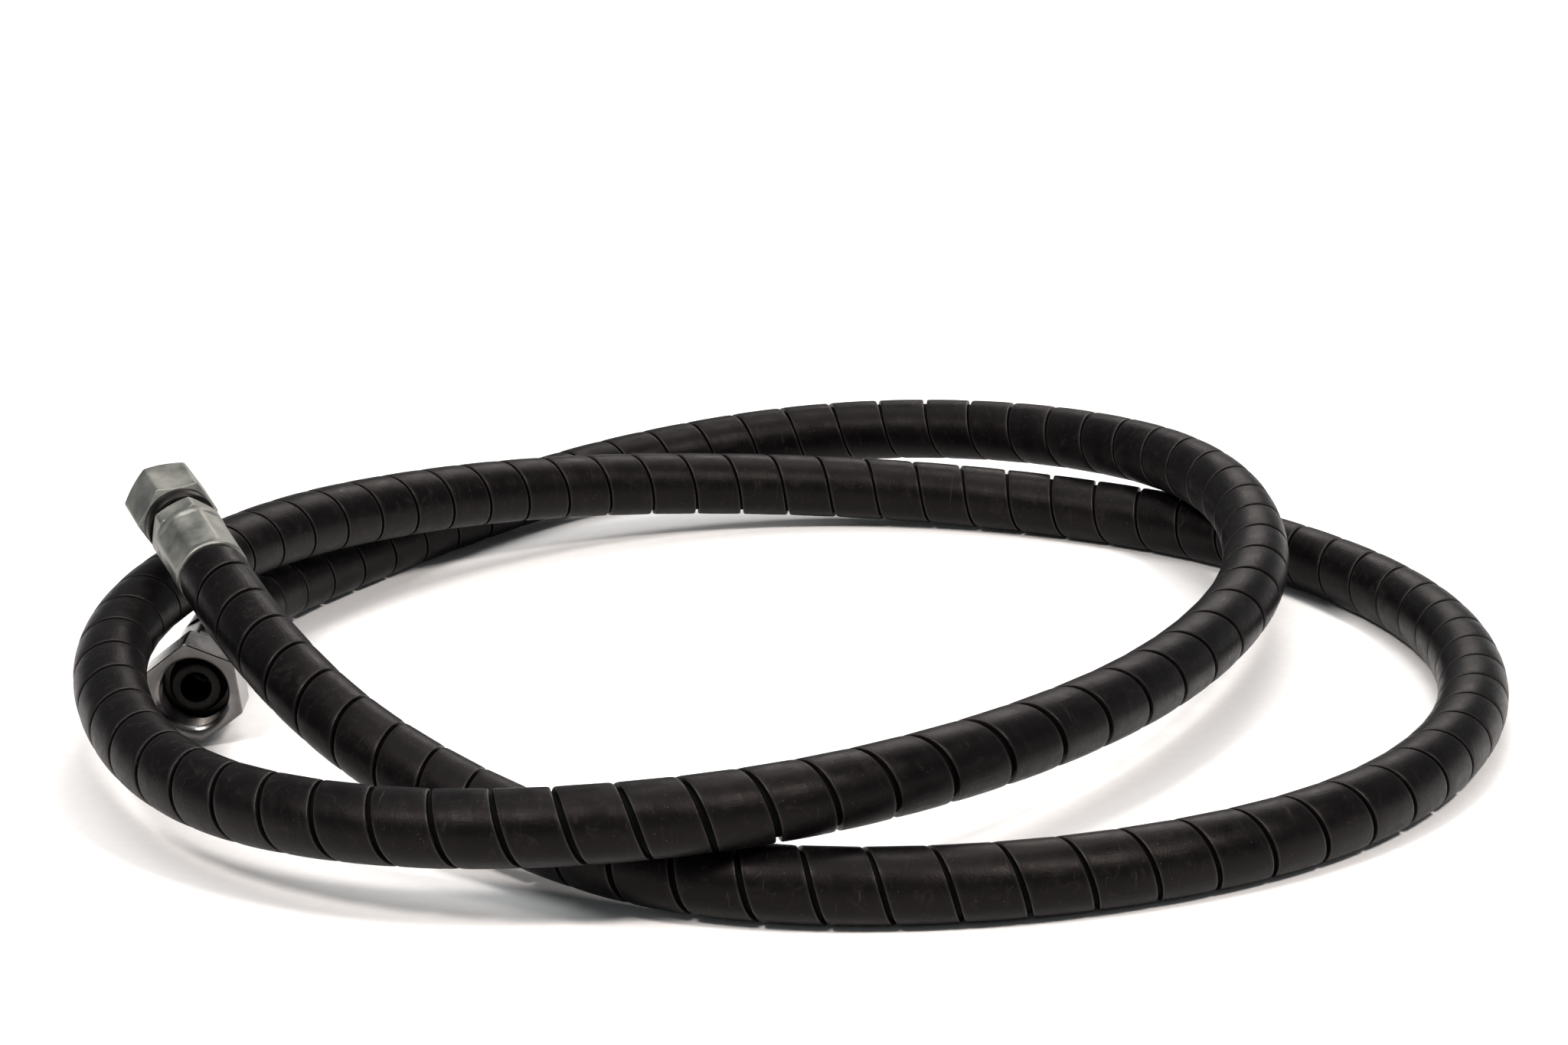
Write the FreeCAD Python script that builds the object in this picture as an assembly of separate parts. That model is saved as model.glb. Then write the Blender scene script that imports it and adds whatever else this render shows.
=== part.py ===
import FreeCAD, Part
import math
import os
from FreeCAD import Placement, Rotation, Vector

os.makedirs("parts", exist_ok=True)

# Hydraulic hose assembly: one stiff hose lying in a double coil, a crimped swivel
# fitting on each end. Millimetres. Z is up and the coil lies on the plane z = 0.

# Hose layers from the bore outwards: node, inner radius, outer radius
HOSE_LAYERS = [
    ("hose_inner_tube", 4.75, 6.30),
    ("hose_braid_inner", 6.30, 6.90),
    ("hose_interlayer", 6.90, 7.20),
    ("hose_braid_outer", 7.20, 7.80),
    ("hose_cover", 7.80, 9.00),
]
GUARD_INNER_R = 9.0
GUARD_OUTER_R = 10.5

# Route of the hose's centre line, from the rear mouth of ferrule A to that of ferrule B.
# Straight runs between these points are joined by tangent arcs.
ROUTE = [
    (-173.9, -53.4, 50.1),
    (-146.3, -111.5, 35.5),
    (-86, -159, 14.5),
    (-24, -196, 10.5),
    (68, -192, 10.5),
    (155, -146, 10.5),
    (203, -63, 10.5),
    (202, 32, 10.5),
    (149, 111, 10.5),
    (66, 155, 10.5),
    (-26, 154, 16),
    (-110, 109, 26.6),
    (-178, 29, 35.9),
    (-209, -65, 33.1),
    (-180, -150, 22.4),
    (-110, -198, 26.3),
    (-20, -202, 33.2),
    (54, -148, 30.5),
    (113, -65, 25.5),
    (148, 25, 27.1),
    (140, 111, 33.4),
    (85, 180, 27),
    (9, 205, 20.5),
    (-66, 181, 14),
    (-118, 130.5, 10.5),
    (-147.5, 89.3, 10.5),
    (-173.1, 44.4, 12),
    (-180.2, 4.9, 13.7),
    (-180.1, -17.1, 14.6),
]
ARC_SHARE = 0.45  # part of the shorter run that each arc's tangent takes

# Both ferrules. Along each fitting, x runs outwards from the ferrule's rear mouth.
HOSE_IN_FERRULE = 19.5
FERRULE_LENGTH = 22.8
FERRULE_R = 10.9
FERRULE_FLATS = 20.9  # across the eight crimped flats
CRIMP_START = 2.0
CRIMP_END = 19.0
RIM_CHAMFER = 0.5
FLANGE_START = 20.6
FLANGE_BORE_R = 6.6

# Both nipples
SHANK_START = 1.0
SHANK_BORE_R = 3.8
SHOULDER_R = 8.5
COLLAR_GAP = 0.8  # from the hexagonal collar's front to the nut
COLLAR_TURN = -4.0
CONE_HALF_ANGLE = 12.0
TIP_CHAMFER = 0.5

# Thrust wire and its two grooves: the nipple's groove leaves the wire 0.5 mm of play
# each way, the nut's groove holds it closely
WIRE_R = 0.9
WIRE_IN_NUT = 3.2  # from the nut's rear face
WIRE_ARC = 340.0
NIPPLE_GROOVE_HALF = 1.4
NUT_GROOVE_HALF = 1.0
GROOVE_CLEARANCE = 0.1

# O-ring on the cone
RING_R = 0.75
RING_STANDS_OUT = 0.3
RING_GROOVE_HALF = 0.85

# Both nuts
NUT_RUNNING_CLEARANCE = 0.1
RELIEF_IN_NUT = 5.7  # from the nut's rear face
MOUTH_CHAMFER = 1.0
HEX_CHAMFER_ANGLE = 30.0

# What differs between the ends. End A has an M18 x 1.5 nut and end B an M22 x 1.5 nut.
END_A = {
    "name": "a",
    "collar_flats": 19.2,
    "neck_r": 7.0,
    "cone_start": 35.4,
    "tip": 42.0,
    "nose_bore_r": 4.0,
    "ring_x": 38.4,
    "nut_start": 29.6,
    "tail_r": 10.7,
    "tail_length": 4.4,
    "flats": 22.0,
    "hex_face_r": 10.6,
    "mouth": 49.6,
    "thread_start": 43.6,
    "thread_minor_r": 8.19,
    "relief_r": 9.15,
    "hex_turn": -27.0,
}
END_B = {
    "name": "b",
    "collar_flats": 22.0,
    "neck_r": 8.6,
    "cone_start": 34.2,
    "tip": 40.6,
    "nose_bore_r": 4.5,
    "ring_x": 37.4,
    "nut_start": 28.0,
    "tail_r": 12.5,
    "tail_length": 4.4,
    "flats": 27.0,
    "hex_face_r": 15.2,
    "mouth": 46.8,
    "thread_start": 40.8,
    "thread_minor_r": 10.19,
    "relief_r": 11.15,
    "hex_turn": -8.0,
}


def save(node, shape):
    if not shape.isValid() or len(shape.Solids) != 1:
        raise ValueError(node + " is not one sound solid")
    shape.Solids[0].exportStep("parts/" + node + ".step")
    print(node, "volume", round(shape.Volume, 1))


def centre_line(points, beyond):
    """Straight runs and tangent arcs through the route, run on past both ends."""
    runs = [b - a for a, b in zip(points, points[1:])]
    along = [Vector(run).normalize() for run in runs]
    edges = []
    radii = []
    at = points[0] - along[0] * beyond
    for i in range(1, len(points) - 1):
        half_turn = along[i - 1].getAngle(along[i]) / 2
        tangent = ARC_SHARE * min(runs[i - 1].Length, runs[i].Length)
        radius = tangent / math.tan(half_turn)
        start = points[i] - along[i - 1] * tangent
        end = points[i] + along[i] * tangent
        inwards = (along[i] - along[i - 1]).normalize()
        middle = points[i] + inwards * (radius / math.cos(half_turn) - radius)
        edges.append(Part.LineSegment(at, start).toShape())
        edges.append(Part.Arc(start, middle, end).toShape())
        radii.append(radius)
        at = end
    edges.append(Part.LineSegment(at, points[-1] + along[-1] * beyond).toShape())
    return Part.Wire(edges), radii


def swept_rod(path, radius):
    first = path.Edges[0]
    centre = first.valueAt(first.FirstParameter)
    direction = first.tangentAt(first.FirstParameter)
    profile = Part.Wire([Part.Circle(centre, direction, radius).toShape()])
    return path.makePipeShell([profile], True, False)


def swept_tube(path, inner_r, outer_r):
    tube = swept_rod(path, outer_r).cut(swept_rod(path, inner_r))
    expected = math.pi * (outer_r ** 2 - inner_r ** 2) * path.Length
    if abs(tube.Volume / expected - 1) > 0.005:
        raise ValueError("a tube's volume is not its section times its length")
    return tube


def turned(outline):
    """Revolve a closed (x, r) outline about the X axis."""
    corners = [Vector(x, 0, r) for x, r in outline]
    face = Part.Face(Part.makePolygon(corners + corners[:1]))
    return face.revolve(Vector(0, 0, 0), Vector(1, 0, 0), 360)


def prism(sides, flats, start, end):
    """A regular prism along X, across the given flats, with a corner straight up."""
    corner_r = flats / 2 / math.cos(math.pi / sides)
    step = 2 * math.pi / sides
    corners = []
    for i in range(sides + 1):
        corners.append(Vector(start, corner_r * math.sin(i * step), corner_r * math.cos(i * step)))
    return Part.Face(Part.makePolygon(corners)).extrude(Vector(end - start, 0, 0))


def make_ferrule():
    blank = turned([
        (0, GUARD_INNER_R),
        (0, FERRULE_R - RIM_CHAMFER),
        (RIM_CHAMFER, FERRULE_R),
        (FERRULE_LENGTH - RIM_CHAMFER, FERRULE_R),
        (FERRULE_LENGTH, FERRULE_R - RIM_CHAMFER),
        (FERRULE_LENGTH, FLANGE_BORE_R),
        (FLANGE_START, FLANGE_BORE_R),
        (FLANGE_START, GUARD_INNER_R),
    ])
    ring = turned([
        (CRIMP_START, GUARD_INNER_R + 0.6),
        (CRIMP_START, FERRULE_R + 5),
        (CRIMP_END, FERRULE_R + 5),
        (CRIMP_END, GUARD_INNER_R + 0.6),
    ])
    crimp = ring.cut(prism(8, FERRULE_FLATS, CRIMP_START - 1, CRIMP_END + 1))
    return blank.cut(crimp)


def chamfered_hexagon(flats, face_r, start, end, bore_r):
    """A hexagon along X with both faces' corners turned off down to face_r."""
    corner_r = flats / 2 / math.cos(math.pi / 6)
    drop = (corner_r - face_r) * math.tan(math.radians(HEX_CHAMFER_ANGLE))
    envelope = turned([
        (start, bore_r),
        (start, face_r),
        (start + drop, corner_r),
        (end - drop, corner_r),
        (end, face_r),
        (end, bore_r),
    ])
    return prism(6, flats, start, end).common(envelope)


def make_nipple(end):
    slope = math.tan(math.radians(CONE_HALF_ANGLE))
    shank_r = HOSE_LAYERS[0][1]
    neck_r = end["neck_r"]
    tip_r = neck_r - slope * (end["tip"] - end["cone_start"])
    wire_x = end["nut_start"] + WIRE_IN_NUT
    wire_floor = neck_r - WIRE_R - GROOVE_CLEARANCE
    ring_from = end["ring_x"] - RING_GROOVE_HALF
    ring_to = end["ring_x"] + RING_GROOVE_HALF
    ring_floor = ring_path_r(end) - RING_R
    body = turned([
        (SHANK_START, SHANK_BORE_R),
        (SHANK_START, shank_r - 0.4),
        (SHANK_START + 0.8, shank_r),
        (HOSE_IN_FERRULE, shank_r),
        (HOSE_IN_FERRULE, SHOULDER_R),
        (FLANGE_START, SHOULDER_R),
        (FLANGE_START, FLANGE_BORE_R),
        (FERRULE_LENGTH, FLANGE_BORE_R),
        (FERRULE_LENGTH, neck_r),
        (wire_x - NIPPLE_GROOVE_HALF, neck_r),
        (wire_x - NIPPLE_GROOVE_HALF, wire_floor),
        (wire_x + NIPPLE_GROOVE_HALF, wire_floor),
        (wire_x + NIPPLE_GROOVE_HALF, neck_r),
        (end["cone_start"], neck_r),
        (ring_from, neck_r - slope * (ring_from - end["cone_start"])),
        (ring_from, ring_floor),
        (ring_to, ring_floor),
        (ring_to, neck_r - slope * (ring_to - end["cone_start"])),
        (end["tip"] - 0.4, tip_r + slope * 0.4),
        (end["tip"], tip_r - 0.3),
        (end["tip"], end["nose_bore_r"] + TIP_CHAMFER),
        (end["tip"] - TIP_CHAMFER, end["nose_bore_r"]),
        (FLANGE_START, end["nose_bore_r"]),
        (FLANGE_START - 1, SHANK_BORE_R),
    ])
    flats = end["collar_flats"]
    collar_end = end["nut_start"] - COLLAR_GAP
    collar = chamfered_hexagon(flats, flats / 2 + 0.2, FERRULE_LENGTH, collar_end, FLANGE_BORE_R - 0.6)
    collar.rotate(Vector(0, 0, 0), Vector(1, 0, 0), COLLAR_TURN)
    return body.fuse(collar).removeSplitter()


def ring_path_r(end):
    """Radius of the O-ring's own centre line."""
    slope = math.tan(math.radians(CONE_HALF_ANGLE))
    cone_r = end["neck_r"] - slope * (end["ring_x"] - end["cone_start"])
    return cone_r + RING_STANDS_OUT - RING_R


def make_nut(end):
    start = end["nut_start"]
    hex_start = start + end["tail_length"]
    wire_x = start + WIRE_IN_NUT
    relief_start = start + RELIEF_IN_NUT
    bore_r = end["neck_r"] + NUT_RUNNING_CLEARANCE
    groove_r = end["neck_r"] + WIRE_R + GROOVE_CLEARANCE
    thread_r = end["thread_minor_r"]
    mouth = end["mouth"]
    hollow = turned([
        (start, 0),
        (mouth, 0),
        (mouth, thread_r + MOUTH_CHAMFER),
        (mouth - MOUTH_CHAMFER, thread_r),
        (end["thread_start"], thread_r),
        (end["thread_start"], end["relief_r"]),
        (relief_start, end["relief_r"]),
        (relief_start, bore_r),
        (wire_x + NUT_GROOVE_HALF, bore_r),
        (wire_x + NUT_GROOVE_HALF, groove_r),
        (wire_x - NUT_GROOVE_HALF, groove_r),
        (wire_x - NUT_GROOVE_HALF, bore_r),
        (start, bore_r),
    ])
    tail = turned([
        (start, bore_r - 1),
        (start, end["tail_r"] - 0.6),
        (start + 0.6, end["tail_r"]),
        (hex_start + 1, end["tail_r"]),
        (hex_start + 1, bore_r - 1),
    ])
    hexagon = chamfered_hexagon(end["flats"], end["hex_face_r"], hex_start, mouth, 0)
    nut = tail.fuse(hexagon).cut(hollow).removeSplitter()
    nut.rotate(Vector(0, 0, 0), Vector(1, 0, 0), end["hex_turn"])
    return nut


def ring(radius, section_r, x, arc):
    """A round ring, or part of one, about the X axis."""
    shape = Part.makeTorus(radius, section_r, Vector(0, 0, 0), Vector(0, 0, 1), -180, 180, arc)
    shape.rotate(Vector(0, 0, 0), Vector(0, 1, 0), 90)
    shape.translate(Vector(x, 0, 0))
    return shape


def fitting_place(mouth, outwards):
    """Stand a fitting's X axis along the hose's end, its Z axis as near to up as it goes."""
    up = Vector(0, 0, 1) - outwards * outwards.z
    side = up.cross(outwards)
    return Placement(mouth, Rotation(outwards, side, up, "XYZ"))


points = [Vector(*p) for p in ROUTE]
covered_path, radii = centre_line(points, 0)
hose_path, radii = centre_line(points, HOSE_IN_FERRULE)
print("bend radii", [round(r) for r in radii])
print("hose length between ferrules", round(covered_path.Length, 1), "and in all", round(hose_path.Length, 1))

for node, inner_r, outer_r in HOSE_LAYERS:
    save(node, swept_tube(hose_path, inner_r, outer_r))
save("spiral_guard", swept_tube(covered_path, GUARD_INNER_R, GUARD_OUTER_R))

for end, mouth, before in ((END_A, points[0], points[1]), (END_B, points[-1], points[-2])):
    place = fitting_place(mouth, (mouth - before).normalize())
    pieces = {
        "ferrule": make_ferrule(),
        "nipple": make_nipple(end),
        "thrust_wire": ring(end["neck_r"], WIRE_R, end["nut_start"] + WIRE_IN_NUT, WIRE_ARC),
        "o_ring": ring(ring_path_r(end), RING_R, end["ring_x"], 360.0),
        "swivel_nut": make_nut(end),
    }
    for name, shape in pieces.items():
        shape.Placement = place.multiply(shape.Placement)
        save(name + "_" + end["name"], shape)
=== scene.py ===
import bisect
import math

import bpy
from mathutils import Matrix, Vector


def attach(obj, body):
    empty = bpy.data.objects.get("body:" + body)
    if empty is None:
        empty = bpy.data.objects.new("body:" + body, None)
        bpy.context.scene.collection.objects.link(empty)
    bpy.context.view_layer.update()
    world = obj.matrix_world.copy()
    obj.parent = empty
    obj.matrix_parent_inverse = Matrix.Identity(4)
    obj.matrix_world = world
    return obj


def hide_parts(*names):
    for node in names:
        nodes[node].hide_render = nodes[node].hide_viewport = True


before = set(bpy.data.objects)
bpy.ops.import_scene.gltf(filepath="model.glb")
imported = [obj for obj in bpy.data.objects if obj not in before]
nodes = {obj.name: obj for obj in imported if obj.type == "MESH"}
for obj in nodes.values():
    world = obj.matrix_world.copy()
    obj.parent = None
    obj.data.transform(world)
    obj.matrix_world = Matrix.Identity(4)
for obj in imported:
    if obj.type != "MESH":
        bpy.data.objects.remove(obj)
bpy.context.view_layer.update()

# A stiff hydraulic hose in a spiral-cut guard, stored in a double coil, with a crimped
# fitting and a swivel nut on each end. Metres; the floor is z = 0.
MM = 0.001

# ---------------------------------------------------------------- camera
camera_data = bpy.data.cameras.new("camera")
camera_data.sensor_width = 36.0
camera_data.lens = 87.9
camera = bpy.data.objects.new("camera", camera_data)
camera.location = (-0.006, -1.123, 0.4034)
camera.rotation_euler = (math.radians(72.5), 0, 0)
bpy.context.collection.objects.link(camera)
bpy.context.scene.camera = camera

# ---------------------------------------------------------------- the hose's route
# Control points of the centre line, from the rear mouth of ferrule A to that of ferrule B
ROUTE = [
    (-0.1739, -0.0534, 0.0501),
    (-0.1463, -0.1115, 0.0355),
    (-0.086, -0.159, 0.0145),
    (-0.024, -0.196, 0.0105),
    (0.068, -0.192, 0.0105),
    (0.155, -0.146, 0.0105),
    (0.203, -0.063, 0.0105),
    (0.202, 0.032, 0.0105),
    (0.149, 0.111, 0.0105),
    (0.066, 0.155, 0.0105),
    (-0.026, 0.154, 0.016),
    (-0.11, 0.109, 0.0266),
    (-0.178, 0.029, 0.0359),
    (-0.209, -0.065, 0.0331),
    (-0.18, -0.15, 0.0224),
    (-0.11, -0.198, 0.0263),
    (-0.02, -0.202, 0.0332),
    (0.054, -0.148, 0.0305),
    (0.113, -0.065, 0.0255),
    (0.148, 0.025, 0.0271),
    (0.14, 0.111, 0.0334),
    (0.085, 0.18, 0.027),
    (0.009, 0.205, 0.0205),
    (-0.066, 0.181, 0.014),
    (-0.118, 0.1305, 0.0105),
    (-0.1475, 0.0893, 0.0105),
    (-0.1731, 0.0444, 0.012),
    (-0.1802, 0.0049, 0.0137),
    (-0.1801, -0.0171, 0.0146),
]

line_data = bpy.data.curves.new("hose_line", "CURVE")
line_data.dimensions = "3D"
line_data.resolution_u = 40
spline = line_data.splines.new("NURBS")
spline.points.add(len(ROUTE) - 1)
for point, place in zip(spline.points, ROUTE):
    point.co = (*place, 1.0)
spline.order_u = 3
spline.use_endpoint_u = True
line = bpy.data.objects.new("hose_line", line_data)
bpy.context.collection.objects.link(line)
bpy.context.view_layer.update()
line_mesh = bpy.data.meshes.new_from_object(line)
path = [v.co.copy() for v in line_mesh.vertices]
bpy.data.objects.remove(line)

# A frame that doesn't twist travels along the line: its place and two cross directions
reach = [0.0]
for a, b in zip(path, path[1:]):
    reach.append(reach[-1] + (b - a).length)
HOSE_LENGTH = reach[-1]
along = [(b - a).normalized() for a, b in zip(path, path[1:])]
along = [along[0]] + [(a + b).normalized() for a, b in zip(along, along[1:])] + [along[-1]]
across = [along[0].orthogonal().normalized()]
for tangent in along[1:]:
    flat = across[-1] - tangent * across[-1].dot(tangent)
    across.append(flat.normalized())


def station(s):
    """Centre and two cross directions at distance s, run on straight past the hose's ends."""
    i = min(max(bisect.bisect_right(reach, s) - 1, 0), len(path) - 2)
    part = (s - reach[i]) / (reach[i + 1] - reach[i])
    centre = path[i].lerp(path[i + 1], part)
    blend = min(max(part, 0.0), 1.0)
    tangent = along[i].lerp(along[i + 1], blend).normalized()
    side = across[i].lerp(across[i + 1], blend)
    side = (side - tangent * side.dot(tangent)).normalized()
    return centre, side, tangent.cross(side)


def add_piece(name, vertices, faces, body, materials, slot, stands_for=(), place=None):
    mesh = bpy.data.meshes.new(name)
    mesh.from_pydata(vertices, [], faces)
    mesh.shade_smooth()
    mesh.set_sharp_from_angle(angle=math.radians(32))
    for each in materials:
        mesh.materials.append(each)
    piece = bpy.data.objects.new(name, mesh)
    if place is not None:
        piece.matrix_world = place
    bpy.context.collection.objects.link(piece)
    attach(piece, body)
    if stands_for:
        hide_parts(*stands_for)
    return piece


def grid_faces(rows, columns, close_rows):
    """Quads over a grid of vertices whose columns close into a ring."""
    faces = []
    for i in range(rows if close_rows else rows - 1):
        below = i * columns
        above = (i + 1) % rows * columns
        for j in range(columns):
            k = (j + 1) % columns
            faces.append((below + j, below + k, above + k, above + j))
    return faces


# ---------------------------------------------------------------- materials
def new_material(name):
    material = bpy.data.materials.new(name)
    material.use_nodes = True
    tree = material.node_tree
    return material, tree, tree.nodes["Principled BSDF"]


def texture(tree, kind, scale, stretch=(1, 1, 1), **inputs):
    """A texture node on object coordinates, with its vector stretched."""
    coordinates = tree.nodes.new("ShaderNodeTexCoord")
    mapping = tree.nodes.new("ShaderNodeMapping")
    mapping.inputs["Scale"].default_value = stretch
    tree.links.new(coordinates.outputs["Object"], mapping.inputs["Vector"])
    node = tree.nodes.new(kind)
    node.inputs["Scale"].default_value = scale
    for key, value in inputs.items():
        node.inputs[key].default_value = value
    tree.links.new(mapping.outputs["Vector"], node.inputs["Vector"])
    return node


def ramp(tree, source, stops):
    """Map a 0..1 value through colour or grey stops."""
    node = tree.nodes.new("ShaderNodeValToRGB")
    while len(node.color_ramp.elements) < len(stops):
        node.color_ramp.elements.new(0.5)
    for element, (position, value) in zip(node.color_ramp.elements, stops):
        element.position = position
        colour = value if isinstance(value, tuple) else (value, value, value)
        element.color = (*colour, 1.0)
    tree.links.new(source, node.inputs["Fac"])
    return node.outputs["Color"]


def mix(tree, factor, a, b):
    """Mix two colours, each an output or a plain colour, by a factor output."""
    node = tree.nodes.new("ShaderNodeMix")
    node.data_type = "RGBA"
    tree.links.new(factor, node.inputs["Factor"])
    for socket, value in (("A", a), ("B", b)):
        entry = next(i for i in node.inputs if i.name == socket and i.type == "RGBA")
        if isinstance(value, tuple):
            entry.default_value = (*value, 1.0)
        else:
            tree.links.new(value, entry)
    return next(o for o in node.outputs if o.type == "RGBA")


def add_bump(tree, shader, heights, distance):
    """Chain bumps, each a (height output, strength) pair."""
    last = None
    for height, strength in heights:
        node = tree.nodes.new("ShaderNodeBump")
        node.inputs["Strength"].default_value = strength
        node.inputs["Distance"].default_value = distance
        tree.links.new(height, node.inputs["Height"])
        if last:
            tree.links.new(last, node.inputs["Normal"])
        last = node.outputs["Normal"]
    tree.links.new(last, shader.inputs["Normal"])


def along_hose(tree, scale, stretch, **inputs):
    """Noise on the guard's own "lay" coordinates: x along the hose, y round it, in metres."""
    lay = tree.nodes.new("ShaderNodeAttribute")
    lay.attribute_name = "lay"
    mapping = tree.nodes.new("ShaderNodeMapping")
    mapping.inputs["Scale"].default_value = stretch
    tree.links.new(lay.outputs["Vector"], mapping.inputs["Vector"])
    node = tree.nodes.new("ShaderNodeTexNoise")
    node.inputs["Scale"].default_value = scale
    for key, value in inputs.items():
        node.inputs[key].default_value = value
    tree.links.new(mapping.outputs["Vector"], node.inputs["Vector"])
    return node.outputs["Fac"]


BLACK_LOW = (0.0010, 0.0008, 0.0010)
BLACK_HIGH = (0.0036, 0.0029, 0.0033)
SCUFFED = (0.0125, 0.0105, 0.0100)
DUST = (0.055, 0.042, 0.034)
SCRATCHED = (0.026, 0.021, 0.019)
# lighter colour along the band's rounded edges: a painted highlight, not wear
PAINTED_RIM_HIGHLIGHT = (0.0115, 0.0100, 0.0095)
STREAK_ROUGHNESS = (0.46, 0.46, 0.46)
SCRATCH_ROUGHNESS = (0.65, 0.65, 0.65)
WARM_GLOSS = (1.0, 0.91, 0.88, 1)


def guard_plastic(name, specular, low, high):
    """Black drawn plastic, rubbed by use: streaks along it, scratches across it, dust and scuffs;
    its colour is lightened along the band's rounded edges as a painted highlight.

    Its roughness runs from low to high.
    """
    material, tree, shader = new_material(name)
    mottle = texture(tree, "ShaderNodeTexNoise", 38, Detail=5.0, Roughness=0.6)
    grain = texture(tree, "ShaderNodeTexNoise", 1500, Detail=3.0)
    scuffs = texture(tree, "ShaderNodeTexNoise", 150, Detail=8.0, Roughness=0.74, Distortion=1.2)
    specks = texture(tree, "ShaderNodeTexVoronoi", 330, Randomness=1.0)
    streaks = along_hose(tree, 30, (1.0, 34.0, 1.0), Detail=4.0, Roughness=0.65)
    scratches = along_hose(tree, 60, (22.0, 1.6, 1.0), Detail=6.0, Roughness=0.7)
    edge = tree.nodes.new("ShaderNodeAttribute")
    edge.attribute_name = "edge"
    black = ramp(tree, mottle.outputs["Fac"], [(0.3, BLACK_LOW), (0.72, BLACK_HIGH)])
    scuff = ramp(tree, scuffs.outputs["Fac"], [(0.55, 0.0), (0.74, 1.0)])
    rubbed = mix(tree, scuff, black, SCUFFED)
    speck = ramp(tree, specks.outputs["Distance"], [(0.0, 0.9), (0.09, 0.0)])
    dusty = mix(tree, speck, rubbed, DUST)
    scratch = ramp(tree, scratches, [(0.62, 0.0), (0.70, 0.8)])
    scratched = mix(tree, scratch, dusty, SCRATCHED)
    # the edge value lightens the colour along the band's rounded edges: a painted highlight
    painted_rim = mix(tree, edge.outputs["Fac"], scratched, PAINTED_RIM_HIGHLIGHT)
    tree.links.new(painted_rim, shader.inputs["Base Color"])
    satin = ramp(tree, scuffs.outputs["Fac"], [(0.32, low), (0.70, high)])
    streak = ramp(tree, streaks, [(0.35, 0.0), (0.65, 0.5)])
    drawn = mix(tree, streak, satin, STREAK_ROUGHNESS)
    dull = mix(tree, scratch, drawn, SCRATCH_ROUGHNESS)
    tree.links.new(dull, shader.inputs["Roughness"])
    shader.inputs["Specular IOR Level"].default_value = specular
    shader.inputs["Specular Tint"].default_value = WARM_GLOSS
    heights = [
        (grain.outputs["Fac"], 0.10),
        (scuffs.outputs["Fac"], 0.14),
        (streaks, 0.18),
        (scratches, 0.10),
    ]
    add_bump(tree, shader, heights, 0.0004)
    return material


def rubber(name, light, scale):
    """Dull rubber, mottled between a colour and a darker tone of it."""
    material, tree, shader = new_material(name)
    noise = texture(tree, "ShaderNodeTexNoise", scale, Detail=6.0)
    dark = tuple(0.55 * c for c in light)
    tree.links.new(
        ramp(tree, noise.outputs["Fac"], [(0.35, dark), (0.7, light)]),
        shader.inputs["Base Color"],
    )
    tree.links.new(
        ramp(tree, noise.outputs["Fac"], [(0.3, 0.62), (0.7, 0.8)]),
        shader.inputs["Roughness"],
    )
    add_bump(tree, shader, [(noise.outputs["Fac"], 0.25)], 0.0003)
    shader.inputs["Specular IOR Level"].default_value = 0.04
    return material


def braid():
    """Brass-coated steel wires, seen only where the hose is cut open."""
    material, tree, shader = new_material("braid_wire")
    wave = texture(tree, "ShaderNodeTexWave", 420, Distortion=1.5, Detail=2.0)
    tree.links.new(
        ramp(tree, wave.outputs["Fac"], [(0.2, (0.24, 0.2, 0.13)), (0.8, (0.62, 0.55, 0.42))]),
        shader.inputs["Base Color"],
    )
    shader.inputs["Metallic"].default_value = 1.0
    shader.inputs["Roughness"].default_value = 0.35
    add_bump(tree, shader, [(wave.outputs["Fac"], 0.6)], 0.0003)
    return material


def plated(name, low, high, rough, turning, bump):
    """Zinc-plated steel: mottled passivation, turning marks round the X axis and fine grain."""
    material, tree, shader = new_material(name)
    clouds = texture(tree, "ShaderNodeTexNoise", 120, Detail=5.0, Roughness=0.55)
    grain = texture(tree, "ShaderNodeTexNoise", 2600, Detail=2.0)
    marks = texture(tree, "ShaderNodeTexNoise", 60, (60, 1, 1), Detail=4.0)
    stains = texture(tree, "ShaderNodeTexNoise", 420, Detail=7.0, Roughness=0.7)
    colour = ramp(tree, clouds.outputs["Fac"], [(0.3, low), (0.7, high)])
    stain = ramp(tree, stains.outputs["Fac"], [(0.60, 0.0), (0.78, 1.0)])
    marked = mix(tree, stain, colour, tuple(0.62 * c for c in low))
    tree.links.new(marked, shader.inputs["Base Color"])
    shader.inputs["Metallic"].default_value = 1.0
    tree.links.new(
        ramp(tree, clouds.outputs["Fac"], [(0.25, rough), (0.75, rough * 1.45)]),
        shader.inputs["Roughness"],
    )
    add_bump(tree, shader, [(marks.outputs["Fac"], turning), (grain.outputs["Fac"], bump)], 0.0002)
    return material


GUARD = guard_plastic("guard_plastic", 0.09, 0.24, 0.50)
GUARD_EDGE = guard_plastic("guard_edge", 0.22, 0.20, 0.34)
# black rubber kept far darker than the tube's rubber: painted shade in the guard's grooves, where
# it shows between the bands
COVER = rubber("cover_rubber", (0.0012, 0.0011, 0.0011), 700)
TUBE = rubber("tube_rubber", (0.02, 0.019, 0.018), 500)
RING = rubber("ring_rubber", (0.012, 0.012, 0.012), 900)
BRAID = braid()
ZINC_DULL = plated("zinc_dull", (0.15, 0.157, 0.145), (0.31, 0.31, 0.285), 0.40, 0.10, 0.22)
ZINC_BRIGHT = plated("zinc_bright", (0.11, 0.106, 0.105), (0.18, 0.172, 0.168), 0.17, 0.09, 0.06)
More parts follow.
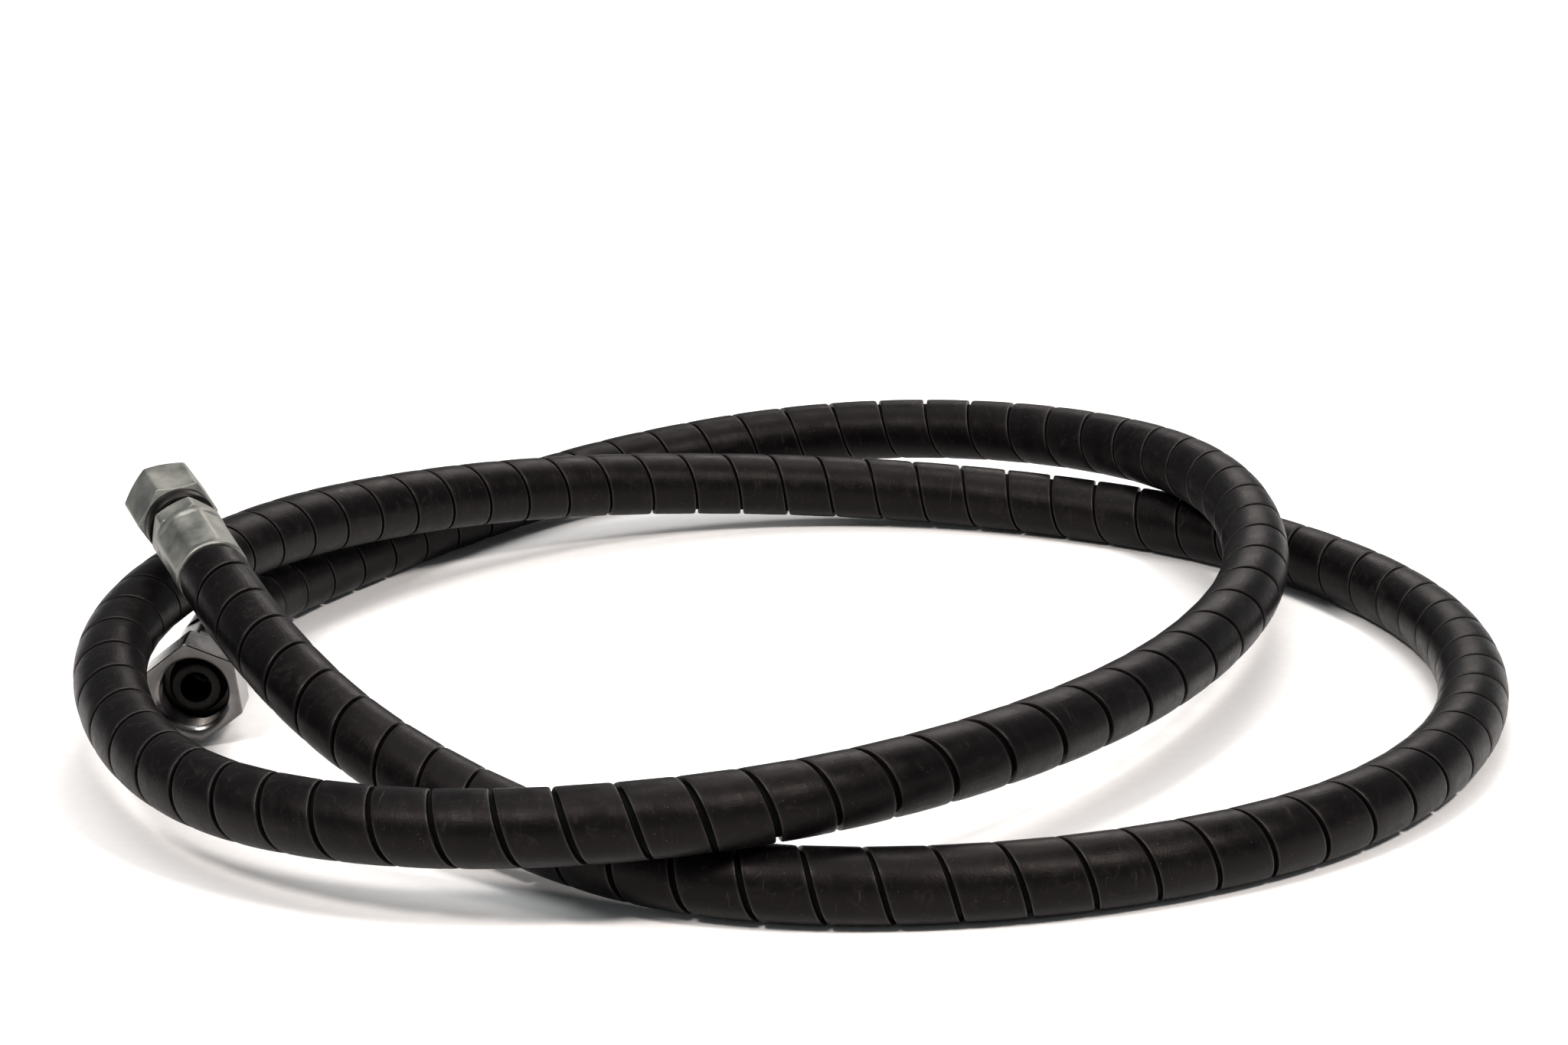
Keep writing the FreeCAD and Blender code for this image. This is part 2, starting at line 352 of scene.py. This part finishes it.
# Two darker steels that stand for shade, not another metal: painted shade on the nut's tail and on
# the nipple inside the nut, and painted shade inside the nut's bore
SHADED_STEEL = plated("steel_painted_shade", (0.010, 0.0095, 0.009), (0.024, 0.022, 0.021), 0.34, 0.08, 0.08)
SHADED_BORE_STEEL = plated(
    "bore_painted_shade", (0.045, 0.042, 0.040), (0.085, 0.078, 0.072), 0.28, 0.08, 0.05
)
WIRE = plated("wire_steel", (0.35, 0.35, 0.35), (0.48, 0.48, 0.47), 0.30, 0.05, 0.08)

# ---------------------------------------------------------------- hose layers
STUB = 19.5 * MM  # hose pushed into each ferrule
LAYERS = [  # node, inner and outer radius in millimetres, material, slot
    ("hose_inner_tube", 4.75, 6.30, TUBE, "hose_rubber"),
    ("hose_braid_inner", 6.32, 6.88, BRAID, "braid_wire"),
    ("hose_interlayer", 6.90, 7.18, TUBE, "hose_rubber"),
    ("hose_braid_outer", 7.20, 7.78, BRAID, "braid_wire"),
    ("hose_cover", 7.80, 8.97, COVER, "hose_rubber"),
]
AROUND = 36  # vertices round each layer


def ring_of(s, radius):
    """A circle of vertices round the hose at distance s."""
    centre, side, top = station(s)
    turn = 2 * math.pi / AROUND
    return [
        centre + radius * (math.cos(j * turn) * side + math.sin(j * turn) * top)
        for j in range(AROUND)
    ]


def hose_layer(name, inner, outer, material, slot):
    stations = [-STUB] + reach[::2] + [HOSE_LENGTH, HOSE_LENGTH + STUB]
    vertices = []
    for s in stations:
        vertices += ring_of(s, outer * MM)
    for s in reversed(stations):
        vertices += ring_of(s, inner * MM)
    faces = grid_faces(2 * len(stations), AROUND, True)
    return add_piece(name + "_mesh", vertices, faces, "hose", [material], slot, [name])


layers = [hose_layer(*layer) for layer in LAYERS]

# ---------------------------------------------------------------- spiral guard
# The band is wound unevenly: metres along the hose, and there its pitch and gap in millimetres
WINDING = [
    (0.0, 15.4, 1.2), (0.15, 15.8, 1.2), (0.22, 17.6, 1.1), (0.32, 17.3, 1.1), (0.42, 18.0, 1.2),
    (0.54, 16.7, 1.2), (1.30, 16.2, 1.2), (1.44, 16.5, 1.3), (1.49, 21.8, 2.1), (1.66, 21.6, 2.0),
    (1.74, 17.0, 1.2), (2.4, 16.5, 1.2),
]
# Small waver of the pitch: millimetres, radians per metre of hose, phase
WAVERS = [(0.30, 23.0, 0.8), (0.20, 61.0, 2.1)]
USUAL_PITCH = 16.7 * MM
RUN_OUT = 0.42 * USUAL_PITCH  # the winding starts and stops this far outside the guard's ends
GUARD_SHY = 1.0 * MM  # least distance at which the guard stops short of a ferrule
GUARD_LEAN = 2.6 * MM  # how much shorter than that it is cut on one side
GUARD_INNER = 9.02 * MM
GUARD_OUTER = 10.5 * MM
STEPS_PER_TURN = 40
STIFFNESS = 0.42  # how much the band keeps its own width where the hose bends


def winding_at(s):
    """Pitch and gap of the band at a distance along the hose."""
    i = max(k for k, row in enumerate(WINDING[:-1]) if row[0] <= max(s, 0.0))
    (a, pitch_a, gap_a), (b, pitch_b, gap_b) = WINDING[i], WINDING[i + 1]
    t = (s - a) / (b - a)
    wander = sum(size * math.sin(s * rate + phase) for size, rate, phase in WAVERS)
    return (pitch_a + (pitch_b - pitch_a) * t + wander) * MM, (gap_a + (gap_b - gap_a) * t) * MM


def bend_at(s):
    """How fast the hose's direction turns: a vector towards the centre of the bend."""
    reach_out = 12 * MM
    before, after = station(s - reach_out), station(s + reach_out)
    return (after[1].cross(after[2]) - before[1].cross(before[2])) / (2 * reach_out)


def strip_section(width):
    """Outline of the guard's band: offset along the hose, radius, and how much it is an edge,
    which sets the painted highlight on its colour.
    """
    half = width / 2
    soft = 0.38 * MM
    bow = 0.12 * MM
    outer = GUARD_OUTER
    return [
        (-half, GUARD_INNER, 0.0),
        (-half, outer - bow - soft, 0.1),
        (-half + 0.3 * soft, outer - bow - 0.3 * soft, 0.8),
        (-half + soft, outer - bow, 0.45),
        (-half + 3 * soft, outer - 0.4 * bow, 0.0),
        (-half * 0.35, outer, 0.0),
        (half * 0.35, outer, 0.0),
        (half - 3 * soft, outer - 0.4 * bow, 0.0),
        (half - soft, outer - bow, 0.45),
        (half - 0.3 * soft, outer - bow - 0.3 * soft, 0.8),
        (half, outer - bow - soft, 0.1),
        (half, GUARD_INNER, 0.0),
    ]


# The section's points, and those on the rounded edge at each side of the band
SECTION_POINTS = len(strip_section(1.0))
EDGE_POINTS = ({1, 2, 3}, {8, 9, 10})


def spiral_guard():
    """One right-handed helical band. Its gap opens outside each bend and closes inside it."""
    vertices, edges, lay = [], [], []
    s = GUARD_SHY - RUN_OUT
    step = 0
    while s < HOSE_LENGTH - GUARD_SHY + RUN_OUT:
        pitch, gap = winding_at(s)
        angle = 2 * math.pi * step / STEPS_PER_TURN
        _, side, top = station(s)
        outwards = math.cos(angle) * side + math.sin(angle) * top
        stretch = 1 - GUARD_OUTER * bend_at(s).dot(outwards)
        width = (pitch - gap) / (1 + STIFFNESS * (stretch - 1))
        short = GUARD_SHY + GUARD_LEAN * (1 + math.sin(angle)) / 2
        for offset, radius, edge in strip_section(width):
            at = min(max(s + offset, short), HOSE_LENGTH - short)
            centre, side, top = station(at)
            vertices.append(centre + radius * (math.cos(angle) * side + math.sin(angle) * top))
            edges.append(edge)
            lay += [at, angle * radius, radius]
        s += pitch / STEPS_PER_TURN
        step += 1
    count = SECTION_POINTS
    rows = len(vertices) // count
    faces = grid_faces(rows, count, False)
    faces.append(tuple(reversed(range(count))))
    faces.append(tuple(range((rows - 1) * count, rows * count)))
    plastics = [GUARD, GUARD_EDGE]
    guard = add_piece(
        "spiral_guard_mesh", vertices, faces, "hose", plastics, "guard_plastic", ["spiral_guard"]
    )
    for polygon in guard.data.polygons:
        columns = {i % count for i in polygon.vertices}
        if any(columns <= edge_points for edge_points in EDGE_POINTS):
            polygon.material_index = 1
    # the edge value sets how much painted highlight the band's colour gets
    layer = guard.data.attributes.new("edge", "FLOAT", "POINT")
    layer.data.foreach_set("value", edges)
    layer = guard.data.attributes.new("lay", "FLOAT_VECTOR", "POINT")
    layer.data.foreach_set("vector", lay)
    return guard


guard = spiral_guard()

# ---------------------------------------------------------------- fittings
# Along each fitting, x runs outwards from the ferrule's rear mouth, in millimetres
COLUMNS = 144  # vertices round each turned piece
FERRULE = 22.8  # length of a ferrule
BLANK_R = 10.88  # the ferrule before it is crimped
PRESSED_R = 10.30  # half the distance across its pressed flats
DIES = 8
RIDGE_DEPTH = 0.35  # how far the ridges between the flats are rounded off, at most
RIDGE_SOFTNESS = 0.12
COLLAR_TURN = -4.0  # degrees that the nipple's hexagon is turned by
CONE_HALF_ANGLE = 12
RING_SECTION = 1.5  # thickness of the O-ring
RING_STANDS_OUT = 0.3
RING_GROOVE_HALF = 0.85
WIRE_R = 0.9
WIRE_IN_NUT = 3.2  # the thrust wire's groove, from the nut's rear face
NIPPLE_GROOVE_HALF = 1.4
NIPPLE_GROOVE_DEPTH = 1.0
NUT_GROOVE_HALF = 1.0
THREAD_PITCH = 1.5
THREAD_DEPTH = 0.81
THREAD_FADE = 0.7  # length over which the thread runs out
BROKEN_CORNER = 0.16
BROKEN_EDGE = 0.28
CHAMFER_SLOPE = 1 / math.tan(math.radians(30))
END_A = {
    "name": "a", "collar_flats": 19.2, "neck": 7.0, "cone": 35.4, "tip": 42.0, "bore": 4.0,
    "ring": 38.4, "nut": 29.6, "tail_r": 10.7, "hexagon": 34.0, "flats": 22.0, "face_r": 10.6,
    "mouth": 49.6, "minor_r": 8.19, "relief_r": 9.15, "hex_turn": -27.0,
    "metal": ZINC_DULL, "slot": "zinc_dull",
}
END_B = {
    "name": "b", "collar_flats": 22.0, "neck": 8.6, "cone": 34.2, "tip": 40.6, "bore": 4.5,
    "ring": 37.4, "nut": 28.0, "tail_r": 12.5, "hexagon": 32.4, "flats": 27.0, "face_r": 15.2,
    "mouth": 46.8, "minor_r": 10.19, "relief_r": 11.15, "hex_turn": -8.0,
    "metal": ZINC_BRIGHT, "slot": "zinc_bright",
}


def fitting_matrix(mouth, outwards):
    """X along the hose's end, Z as near to up as it goes."""
    top = (Vector((0, 0, 1)) - outwards * outwards.z).normalized()
    side = top.cross(outwards)
    turn = Matrix((outwards, side, top)).transposed().to_4x4()
    return Matrix.Translation(mouth) @ turn


def hexagon(flats, face_r, start, end, turn):
    """Radius of a chamfered hexagon with slightly broken corners, at x and angle."""
    corner = flats / 2 / math.cos(math.pi / 6)

    def radius(x, angle):
        off = (math.degrees(angle) - turn) % 60 - 30
        flat = flats / 2 / math.cos(math.radians(off))
        chamfer = face_r + CHAMFER_SLOPE * min(x - start, end - x)
        return min(flat, chamfer, corner - BROKEN_CORNER)

    return radius


def thread(minor_r, start, end):
    """Radius of an internal right-handed thread that fades out at both ends."""

    def radius(x, angle):
        # a triangle wave, cut off flat at crest and root
        phase = (x / THREAD_PITCH - angle / (2 * math.pi)) % 1
        cut = min(max(1.35 * (1 - abs(2 * phase - 1)) - 0.12, 0.0), 1.0)
        fade = min(1.0, (x - start) / THREAD_FADE, (end - x) / THREAD_FADE + 0.25)
        return minor_r + THREAD_DEPTH * cut * max(fade, 0.0)

    return radius


def spread(start, end, step):
    """Even steps from start to end, about the given step apart."""
    count = max(1, round((end - start) / step))
    return [start + (end - start) * i / count for i in range(count + 1)]


def turned_piece(name, rows, body, end, place, metal_or_shade_at):
    """A ring-shaped piece from rows of (x, radius), the radius a number or a rule.

    The last argument gives each band between two rows its metal: the end's own, a dark steel
    painted as shade on the nut's tail and on the nipple inside the nut, or a less dark steel
    painted as shade inside the nut's bore.
    """
    vertices = []
    for x, rule in rows:
        for j in range(COLUMNS):
            angle = 2 * math.pi * j / COLUMNS
            radius = rule(x, angle) if callable(rule) else rule
            vertices.append((x * MM, radius * MM * math.sin(angle), radius * MM * math.cos(angle)))
    faces = [tuple(reversed(f)) for f in grid_faces(len(rows), COLUMNS, True)]
    # the end's own zinc, then the two darker steels that are painted shade
    metals = [end["metal"], SHADED_STEEL, SHADED_BORE_STEEL]
    piece = add_piece(name + "_mesh", vertices, faces, body, metals, end["slot"], [name], place)
    metal_or_shade = []
    for i, (x, _) in enumerate(rows):
        middle = (x + rows[(i + 1) % len(rows)][0]) / 2
        metal_or_shade += [metal_or_shade_at(i, middle)] * COLUMNS
    piece.data.polygons.foreach_set("material_index", metal_or_shade)
    return piece


def smooth(t):
    """Ease from 0 to 1."""
    t = min(max(t, 0.0), 1.0)
    return t * t * (3 - 2 * t)


def crimped(x, angle):
    """The crimped shell: a round blank pressed by eight dies, whose flats meet in soft ridges."""
    share = 360 / DIES
    off = (math.degrees(angle) + 8) % share - share / 2
    flat = PRESSED_R / math.cos(math.radians(off))
    ridge = math.exp((flat - BLANK_R - 0.1) / RIDGE_SOFTNESS)
    pressed = flat - RIDGE_DEPTH * ridge / (1 + ridge)
    depth = smooth((x - 1.3) / 1.4) * smooth((20.9 - x) / 1.4)
    return BLANK_R + (min(pressed, BLANK_R) - BLANK_R) * depth


def ferrule(end, place):
    rows = [(0.0, 9.02), (0.0, 10.3), (0.12, 10.6), (0.35, 10.8)]
    rows += [(x, crimped) for x in spread(0.7, 21.9, 0.28)]
    rows += [(22.3, 10.86), (22.6, 10.7), (FERRULE, 10.35)]
    rows += [(FERRULE, 6.62), (20.62, 6.62), (20.62, 9.02)]
    return turned_piece("ferrule_" + end["name"], rows, "hose", end, place, lambda i, x: 0)


def nipple(end, place):
    slope = math.tan(math.radians(CONE_HALF_ANGLE))
    neck = end["neck"]

    def cone(x):
        return neck - slope * max(x - end["cone"], 0)

    wire = end["nut"] + WIRE_IN_NUT
    wire_floor = neck - NIPPLE_GROOVE_DEPTH
    groove = end["ring"]
    ring_floor = cone(groove) + RING_STANDS_OUT - RING_SECTION
    collar_start = FERRULE
    collar_end = end["nut"] - 0.8
    flats = end["collar_flats"]
    collar = hexagon(flats, flats / 2 + 0.2, collar_start, collar_end, COLLAR_TURN)
    tip = end["tip"]
    rows = [(1.0, 3.82), (1.0, 4.3), (1.8, 4.7), (19.52, 4.7), (19.52, 8.5), (20.58, 8.5)]
    rows += [(20.58, 6.58), (collar_start, 6.58)]
    rows += [(x, collar) for x in spread(collar_start + 0.001, collar_end, 0.16)]
    rows += [(collar_end, neck + 0.35), (collar_end + 0.35, neck)]
    rows += [(wire - NIPPLE_GROOVE_HALF, neck), (wire - NIPPLE_GROOVE_HALF, wire_floor)]
    rows += [(wire + NIPPLE_GROOVE_HALF, wire_floor), (wire + NIPPLE_GROOVE_HALF, neck)]
    rows += [(x, cone(x)) for x in spread(end["cone"], groove - RING_GROOVE_HALF, 0.5)]
    rows += [(groove - RING_GROOVE_HALF, ring_floor), (groove + RING_GROOVE_HALF, ring_floor)]
    rows += [(x, cone(x)) for x in spread(groove + RING_GROOVE_HALF, tip - 0.4, 0.5)]
    rows += [(tip - 0.12, cone(tip) - 0.05), (tip, cone(tip) - 0.3)]
    rows += [(tip, end["bore"] + 0.5), (tip - 0.15, end["bore"] + 0.15), (tip - 0.5, end["bore"])]
    rows += [(20.6, end["bore"]), (19.6, 3.82)]
    name = "nipple_" + end["name"]
    # past the collar, inside the nut, the nipple gets the dark steel as painted shade
    return turned_piece(name, rows, "hose", end, place, lambda i, x: int(x > collar_end))


def swivel_nut(end, place):
    start = end["nut"]
    hex_start = end["hexagon"]
    mouth = end["mouth"]
    bore = end["neck"] + 0.1
    wire = start + WIRE_IN_NUT
    relief_start = start + 5.7
    relief_end = start + 7.2
    minor = end["minor_r"]
    outside = hexagon(end["flats"], end["face_r"], hex_start, mouth, end["hex_turn"])
    threaded = thread(minor, relief_end + 0.5, mouth - 0.9)
    drop = (end["flats"] / 2 / math.cos(math.pi / 6) - end["face_r"]) / CHAMFER_SLOPE
    tail = end["tail_r"]
    rows = [(start, bore), (start, tail - 0.6), (start + 0.2, tail - 0.25), (start + 0.6, tail)]
    rows += [(hex_start - 0.4, tail), (hex_start - 0.12, tail - 0.12), (hex_start, tail - 0.35)]
    rows += [(x, outside) for x in spread(hex_start, hex_start + drop + 0.1, 0.09)]
    rows += [(x, outside) for x in spread(hex_start + drop + 0.4, mouth - drop - 0.4, 1.2)]
    rows += [(x, outside) for x in spread(mouth - drop - 0.1, mouth - BROKEN_EDGE, 0.09)]
    rows += [(mouth, lambda x, angle: outside(x - BROKEN_EDGE, angle) - BROKEN_EDGE)]
    rows += [(mouth, minor + 1.25), (mouth - 0.1, minor + 1.08), (mouth - 0.5, minor + 0.5)]
    inside = len(rows)
    rows += [(x, threaded) for x in reversed(spread(relief_end + 0.5, mouth - 0.9, 0.125))]
    rows += [(relief_end, end["relief_r"]), (relief_start, end["relief_r"]), (relief_start, bore)]
    rows += [(wire + NUT_GROOVE_HALF, bore), (wire + NUT_GROOVE_HALF, bore + WIRE_R)]
    rows += [(wire - NUT_GROOVE_HALF, bore + WIRE_R), (wire - NUT_GROOVE_HALF, bore)]
    name = end["name"]

    def metal_or_shade_at(i, x):
        # inside the nut's bore: the less dark steel as painted shade
        if i >= inside:
            return 2
        # the tail between the hexagon and the collar: the dark steel as painted shade
        return int(x < hex_start)

    return turned_piece("swivel_nut_" + name, rows, "nut_" + name, end, place, metal_or_shade_at)


on_hose = []
for end, mouth, before in ((END_A, 0, 1), (END_B, -1, -2)):
    outwards = (Vector(ROUTE[mouth]) - Vector(ROUTE[before])).normalized()
    place = fitting_matrix(Vector(ROUTE[mouth]), outwards)
    on_hose += [ferrule(end, place), nipple(end, place), swivel_nut(end, place)]
    for node, material in (("thrust_wire_", WIRE), ("o_ring_", RING)):
        carried = nodes[node + end["name"]]
        carried.data.materials.clear()
        carried.data.materials.append(material)
        on_hose.append(carried)

# ---------------------------------------------------------------- floor and light
def stage_floor():
    mesh = bpy.data.meshes.new("floor")
    size = 6.0
    corners = [(-size, -size, 0), (size, -size, 0), (size, size, 0), (-size, size, 0)]
    mesh.from_pydata(corners, [], [(0, 1, 2, 3)])
    material, tree, shader = new_material("floor_paper")
    noise = texture(tree, "ShaderNodeTexNoise", 300, Detail=3.0)
    tree.links.new(
        ramp(tree, noise.outputs["Fac"], [(0.3, (0.86, 0.86, 0.86)), (0.7, (0.89, 0.89, 0.89))]),
        shader.inputs["Base Color"],
    )
    shader.inputs["Roughness"].default_value = 0.9
    shader.inputs["Specular IOR Level"].default_value = 0.1
    mesh.materials.append(material)
    floor = bpy.data.objects.new("floor", mesh)
    bpy.context.collection.objects.link(floor)


def soft_light(name, place, aim, size, power):
    data = bpy.data.lights.new(name, "AREA")
    data.shape = "RECTANGLE"
    data.size, data.size_y = size
    data.energy = power
    data.color = (1.0, 0.93, 0.88)
    light = bpy.data.objects.new(name, data)
    light.location = place
    light.rotation_euler = (Vector(aim) - Vector(place)).to_track_quat("-Z", "Y").to_euler()
    bpy.context.collection.objects.link(light)


def sun(name, direction, strength, spread_degrees):
    data = bpy.data.lights.new(name, "SUN")
    data.energy = strength
    data.angle = math.radians(spread_degrees)
    light = bpy.data.objects.new(name, data)
    light.rotation_euler = Vector(direction).to_track_quat("-Z", "Y").to_euler()
    bpy.context.collection.objects.link(light)


stage_floor()
sun("sky", (0.15, 0.1, -1.0), 1.3, 50)
soft_light("back", (0.35, 1.5, 1.0), (0, 0, 0), (0.8, 0.4), 8)
soft_light("overhead", (0.1, 0.5, 1.45), (0, 0, 0), (0.6, 0.4), 7)
soft_light("front_right", (0.85, -0.95, 1.45), (0, 0, 0), (0.34, 0.26), 26)
soft_light("front_left", (-0.75, -1.0, 1.35), (0, 0, 0), (0.34, 0.26), 20)

world = bpy.data.worlds.new("studio")
world.use_nodes = True
background = world.node_tree.nodes["Background"]
background.inputs["Color"].default_value = (0.93, 0.97, 1.0, 1.0)
background.inputs["Strength"].default_value = 0.27
bpy.context.scene.world = world
bpy.context.scene.view_settings.view_transform = "Standard"
